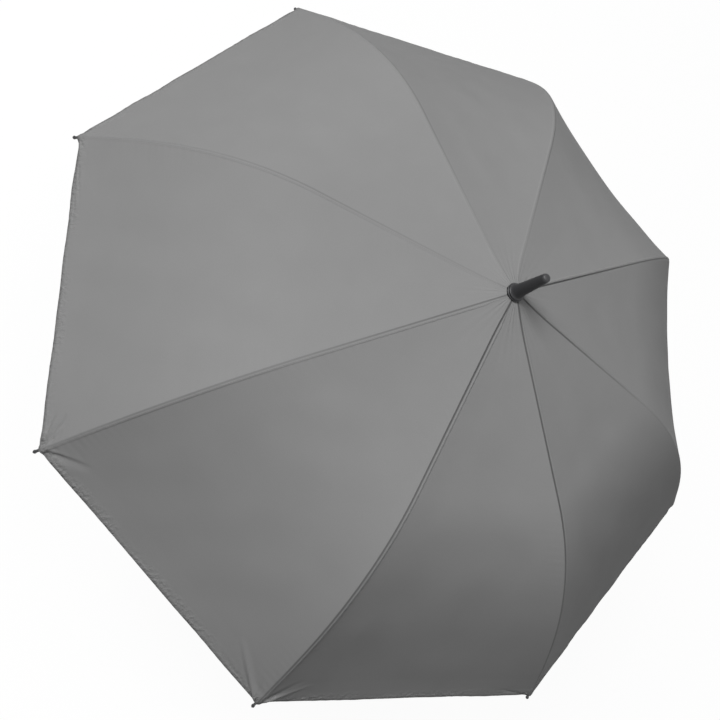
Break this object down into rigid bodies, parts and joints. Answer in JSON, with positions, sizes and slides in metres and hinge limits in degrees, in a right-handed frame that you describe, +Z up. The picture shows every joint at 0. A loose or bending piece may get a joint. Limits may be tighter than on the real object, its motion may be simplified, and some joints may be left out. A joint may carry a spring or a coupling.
{
  "type": "stick umbrella",
  "caption": "Automatic stick umbrella with a plain grey canopy on fluted ribs and stretchers, a sliding runner, a push button and a crook handle.",
  "frame": {"origin": "on the shaft's axis inside the handle's grip, at the foot of the shaft", "axes": "+Z up along the shaft towards the ferrule; +X towards the free end of the crook; rib 1 points to -Y"},
  "size_m": [1.0236, 1.0236, 0.7935],
  "materials": {
    "plated_steel": "satin plated tube and wire",
    "rib_steel": "black coated fluted steel",
    "black_plastic": "moulded black nylon",
    "grip_rubber": "soft-touch black grip",
    "button_plastic": "moulded grey button",
    "grey_cloth": "plain woven grey cloth, water repellent"
  },
  "bodies": {
    "stick": {"shaft_tube": "plated_steel", "crown": "black_plastic", "crown_wire": "plated_steel", "crown_pin": "plated_steel", "ferrule": "black_plastic", "ferrule_washer": "black_plastic", "handle_collar": "black_plastic", "handle_crook": "grip_rubber", "main_spring": "plated_steel"},
    "runner": {"runner": "black_plastic", "runner_wire": "plated_steel", "drive_plunger": "plated_steel"},
    "button": {"push_button": "button_plastic"},
    "rib_1": {"rib_1": "rib_steel", "rib_tip_1": "black_plastic"},
    "stretcher_1": {"stretcher_1": "rib_steel"},
    "panel_1_left": {"canopy_1_left": "grey_cloth"},
    "panel_1_right": {"canopy_1_right": "grey_cloth"},
    "rib_2": {"rib_2": "rib_steel", "rib_tip_2": "black_plastic"},
    "stretcher_2": {"stretcher_2": "rib_steel"},
    "panel_2_left": {"canopy_2_left": "grey_cloth"},
    "panel_2_right": {"canopy_2_right": "grey_cloth"},
    "rib_3": {"rib_3": "rib_steel", "rib_tip_3": "black_plastic"},
    "stretcher_3": {"stretcher_3": "rib_steel"},
    "panel_3_left": {"canopy_3_left": "grey_cloth"},
    "panel_3_right": {"canopy_3_right": "grey_cloth"},
    "rib_4": {"rib_4": "rib_steel", "rib_tip_4": "black_plastic"},
    "stretcher_4": {"stretcher_4": "rib_steel"},
    "panel_4_left": {"canopy_4_left": "grey_cloth"},
    "panel_4_right": {"canopy_4_right": "grey_cloth"},
    "rib_5": {"rib_5": "rib_steel", "rib_tip_5": "black_plastic"},
    "stretcher_5": {"stretcher_5": "rib_steel"},
    "panel_5_left": {"canopy_5_left": "grey_cloth"},
    "panel_5_right": {"canopy_5_right": "grey_cloth"},
    "rib_6": {"rib_6": "rib_steel", "rib_tip_6": "black_plastic"},
    "stretcher_6": {"stretcher_6": "rib_steel"},
    "panel_6_left": {"canopy_6_left": "grey_cloth"},
    "panel_6_right": {"canopy_6_right": "grey_cloth"},
    "rib_7": {"rib_7": "rib_steel", "rib_tip_7": "black_plastic"},
    "stretcher_7": {"stretcher_7": "rib_steel"},
    "panel_7_left": {"canopy_7_left": "grey_cloth"},
    "panel_7_right": {"canopy_7_right": "grey_cloth"},
    "rib_8": {"rib_8": "rib_steel", "rib_tip_8": "black_plastic"},
    "stretcher_8": {"stretcher_8": "rib_steel"},
    "panel_8_left": {"canopy_8_left": "grey_cloth"},
    "panel_8_right": {"canopy_8_right": "grey_cloth"}
  },
  "joints": [
    {"name": "runner_slide", "type": "slide", "parent": "stick", "child": "runner", "axis": [0, 0, -1], "range_m": [0, 0.35846], "stiffness_N_per_m": 60, "springref_m": -0.3, "deforming": ["main_spring", "canopy_1_left", "canopy_1_right", "canopy_2_left", "canopy_2_right", "canopy_3_left", "canopy_3_right", "canopy_4_left", "canopy_4_right", "canopy_5_left", "canopy_5_right", "canopy_6_left", "canopy_6_right", "canopy_7_left", "canopy_7_right", "canopy_8_left", "canopy_8_right"]},
    {"name": "button_press", "type": "slide", "parent": "stick", "child": "button", "axis": [1, 0, 0], "range_m": [0, 0.0025], "stiffness_N_per_m": 500, "springref_m": -0.001},
    {"name": "rib_hinge_1", "type": "hinge", "parent": "stick", "child": "rib_1", "pos_m": [0, -0.0097, 0.61927], "axis": [1, 0, 0], "range_deg": [0, 61.01]},
    {"name": "stretcher_hinge_1", "type": "hinge", "parent": "rib_1", "child": "stretcher_1", "pos_m": [0, -0.24437, 0.56877], "axis": [1, 0, 0], "range_deg": [-122.02, 0]},
    {"name": "panel_fold_1_left", "type": "hinge", "parent": "rib_1", "child": "panel_1_left", "pos_m": [0, 0.01254, 0.57449], "axis": [0, -0.8957, -0.4447], "range_deg": [0, 85.01]},
    {"name": "panel_fold_1_right", "type": "hinge", "parent": "rib_1", "child": "panel_1_right", "pos_m": [0, 0.01254, 0.57449], "axis": [0, -0.8957, -0.4447], "range_deg": [-85.01, 0]},
    {"name": "rib_hinge_2", "type": "hinge", "parent": "stick", "child": "rib_2", "pos_m": [-0.00686, -0.00686, 0.61927], "axis": [0.7071, -0.7071, 0], "range_deg": [0, 61.01]},
    {"name": "stretcher_hinge_2", "type": "hinge", "parent": "rib_2", "child": "stretcher_2", "pos_m": [-0.1728, -0.1728, 0.56877], "axis": [0.7071, -0.7071, 0], "range_deg": [-122.02, 0]},
    {"name": "panel_fold_2_left", "type": "hinge", "parent": "rib_2", "child": "panel_2_left", "pos_m": [0.00886, 0.00886, 0.57449], "axis": [-0.6333, -0.6333, -0.4447], "range_deg": [0, 85.01]},
    {"name": "panel_fold_2_right", "type": "hinge", "parent": "rib_2", "child": "panel_2_right", "pos_m": [0.00886, 0.00886, 0.57449], "axis": [-0.6333, -0.6333, -0.4447], "range_deg": [-85.01, 0]},
    {"name": "rib_hinge_3", "type": "hinge", "parent": "stick", "child": "rib_3", "pos_m": [-0.0097, 0, 0.61927], "axis": [0, -1, 0], "range_deg": [0, 61.01]},
    {"name": "stretcher_hinge_3", "type": "hinge", "parent": "rib_3", "child": "stretcher_3", "pos_m": [-0.24437, 0, 0.56877], "axis": [0, -1, 0], "range_deg": [-122.02, 0]},
    {"name": "panel_fold_3_left", "type": "hinge", "parent": "rib_3", "child": "panel_3_left", "pos_m": [0.01254, 0, 0.57449], "axis": [-0.8957, 0, -0.4447], "range_deg": [0, 85.01]},
    {"name": "panel_fold_3_right", "type": "hinge", "parent": "rib_3", "child": "panel_3_right", "pos_m": [0.01254, 0, 0.57449], "axis": [-0.8957, 0, -0.4447], "range_deg": [-85.01, 0]},
    {"name": "rib_hinge_4", "type": "hinge", "parent": "stick", "child": "rib_4", "pos_m": [-0.00686, 0.00686, 0.61927], "axis": [-0.7071, -0.7071, 0], "range_deg": [0, 61.01]},
    {"name": "stretcher_hinge_4", "type": "hinge", "parent": "rib_4", "child": "stretcher_4", "pos_m": [-0.1728, 0.1728, 0.56877], "axis": [-0.7071, -0.7071, 0], "range_deg": [-122.02, 0]},
    {"name": "panel_fold_4_left", "type": "hinge", "parent": "rib_4", "child": "panel_4_left", "pos_m": [0.00886, -0.00886, 0.57449], "axis": [-0.6333, 0.6333, -0.4447], "range_deg": [0, 85.01]},
    {"name": "panel_fold_4_right", "type": "hinge", "parent": "rib_4", "child": "panel_4_right", "pos_m": [0.00886, -0.00886, 0.57449], "axis": [-0.6333, 0.6333, -0.4447], "range_deg": [-85.01, 0]},
    {"name": "rib_hinge_5", "type": "hinge", "parent": "stick", "child": "rib_5", "pos_m": [0, 0.0097, 0.61927], "axis": [-1, 0, 0], "range_deg": [0, 61.01]},
    {"name": "stretcher_hinge_5", "type": "hinge", "parent": "rib_5", "child": "stretcher_5", "pos_m": [0, 0.24437, 0.56877], "axis": [-1, 0, 0], "range_deg": [-122.02, 0]},
    {"name": "panel_fold_5_left", "type": "hinge", "parent": "rib_5", "child": "panel_5_left", "pos_m": [0, -0.01254, 0.57449], "axis": [0, 0.8957, -0.4447], "range_deg": [0, 85.01]},
    {"name": "panel_fold_5_right", "type": "hinge", "parent": "rib_5", "child": "panel_5_right", "pos_m": [0, -0.01254, 0.57449], "axis": [0, 0.8957, -0.4447], "range_deg": [-85.01, 0]},
    {"name": "rib_hinge_6", "type": "hinge", "parent": "stick", "child": "rib_6", "pos_m": [0.00686, 0.00686, 0.61927], "axis": [-0.7071, 0.7071, 0], "range_deg": [0, 61.01]},
    {"name": "stretcher_hinge_6", "type": "hinge", "parent": "rib_6", "child": "stretcher_6", "pos_m": [0.1728, 0.1728, 0.56877], "axis": [-0.7071, 0.7071, 0], "range_deg": [-122.02, 0]},
    {"name": "panel_fold_6_left", "type": "hinge", "parent": "rib_6", "child": "panel_6_left", "pos_m": [-0.00886, -0.00886, 0.57449], "axis": [0.6333, 0.6333, -0.4447], "range_deg": [0, 85.01]},
    {"name": "panel_fold_6_right", "type": "hinge", "parent": "rib_6", "child": "panel_6_right", "pos_m": [-0.00886, -0.00886, 0.57449], "axis": [0.6333, 0.6333, -0.4447], "range_deg": [-85.01, 0]},
    {"name": "rib_hinge_7", "type": "hinge", "parent": "stick", "child": "rib_7", "pos_m": [0.0097, 0, 0.61927], "axis": [0, 1, 0], "range_deg": [0, 61.01]},
    {"name": "stretcher_hinge_7", "type": "hinge", "parent": "rib_7", "child": "stretcher_7", "pos_m": [0.24437, 0, 0.56877], "axis": [0, 1, 0], "range_deg": [-122.02, 0]},
    {"name": "panel_fold_7_left", "type": "hinge", "parent": "rib_7", "child": "panel_7_left", "pos_m": [-0.01254, 0, 0.57449], "axis": [0.8957, 0, -0.4447], "range_deg": [0, 85.01]},
    {"name": "panel_fold_7_right", "type": "hinge", "parent": "rib_7", "child": "panel_7_right", "pos_m": [-0.01254, 0, 0.57449], "axis": [0.8957, 0, -0.4447], "range_deg": [-85.01, 0]},
    {"name": "rib_hinge_8", "type": "hinge", "parent": "stick", "child": "rib_8", "pos_m": [0.00686, -0.00686, 0.61927], "axis": [0.7071, 0.7071, 0], "range_deg": [0, 61.01]},
    {"name": "stretcher_hinge_8", "type": "hinge", "parent": "rib_8", "child": "stretcher_8", "pos_m": [0.1728, -0.1728, 0.56877], "axis": [0.7071, 0.7071, 0], "range_deg": [-122.02, 0]},
    {"name": "panel_fold_8_left", "type": "hinge", "parent": "rib_8", "child": "panel_8_left", "pos_m": [-0.00886, 0.00886, 0.57449], "axis": [0.6333, -0.6333, -0.4447], "range_deg": [0, 85.01]},
    {"name": "panel_fold_8_right", "type": "hinge", "parent": "rib_8", "child": "panel_8_right", "pos_m": [-0.00886, 0.00886, 0.57449], "axis": [0.6333, -0.6333, -0.4447], "range_deg": [-85.01, 0]}
  ],
  "couplings": [
    {"joint": "rib_hinge_1", "follows": "runner_slide", "rad_per_m": 2.9701},
    {"joint": "stretcher_hinge_1", "follows": "runner_slide", "rad_per_m": -5.9401},
    {"joint": "panel_fold_1_left", "follows": "runner_slide", "rad_per_m": 4.1386},
    {"joint": "panel_fold_1_right", "follows": "runner_slide", "rad_per_m": -4.1386},
    {"joint": "rib_hinge_2", "follows": "runner_slide", "rad_per_m": 2.9701},
    {"joint": "stretcher_hinge_2", "follows": "runner_slide", "rad_per_m": -5.9401},
    {"joint": "panel_fold_2_left", "follows": "runner_slide", "rad_per_m": 4.1386},
    {"joint": "panel_fold_2_right", "follows": "runner_slide", "rad_per_m": -4.1386},
    {"joint": "rib_hinge_3", "follows": "runner_slide", "rad_per_m": 2.9701},
    {"joint": "stretcher_hinge_3", "follows": "runner_slide", "rad_per_m": -5.9401},
    {"joint": "panel_fold_3_left", "follows": "runner_slide", "rad_per_m": 4.1386},
    {"joint": "panel_fold_3_right", "follows": "runner_slide", "rad_per_m": -4.1386},
    {"joint": "rib_hinge_4", "follows": "runner_slide", "rad_per_m": 2.9701},
    {"joint": "stretcher_hinge_4", "follows": "runner_slide", "rad_per_m": -5.9401},
    {"joint": "panel_fold_4_left", "follows": "runner_slide", "rad_per_m": 4.1386},
    {"joint": "panel_fold_4_right", "follows": "runner_slide", "rad_per_m": -4.1386},
    {"joint": "rib_hinge_5", "follows": "runner_slide", "rad_per_m": 2.9701},
    {"joint": "stretcher_hinge_5", "follows": "runner_slide", "rad_per_m": -5.9401},
    {"joint": "panel_fold_5_left", "follows": "runner_slide", "rad_per_m": 4.1386},
    {"joint": "panel_fold_5_right", "follows": "runner_slide", "rad_per_m": -4.1386},
    {"joint": "rib_hinge_6", "follows": "runner_slide", "rad_per_m": 2.9701},
    {"joint": "stretcher_hinge_6", "follows": "runner_slide", "rad_per_m": -5.9401},
    {"joint": "panel_fold_6_left", "follows": "runner_slide", "rad_per_m": 4.1386},
    {"joint": "panel_fold_6_right", "follows": "runner_slide", "rad_per_m": -4.1386},
    {"joint": "rib_hinge_7", "follows": "runner_slide", "rad_per_m": 2.9701},
    {"joint": "stretcher_hinge_7", "follows": "runner_slide", "rad_per_m": -5.9401},
    {"joint": "panel_fold_7_left", "follows": "runner_slide", "rad_per_m": 4.1386},
    {"joint": "panel_fold_7_right", "follows": "runner_slide", "rad_per_m": -4.1386},
    {"joint": "rib_hinge_8", "follows": "runner_slide", "rad_per_m": 2.9701},
    {"joint": "stretcher_hinge_8", "follows": "runner_slide", "rad_per_m": -5.9401},
    {"joint": "panel_fold_8_left", "follows": "runner_slide", "rad_per_m": 4.1386},
    {"joint": "panel_fold_8_right", "follows": "runner_slide", "rad_per_m": -4.1386}
  ]
}
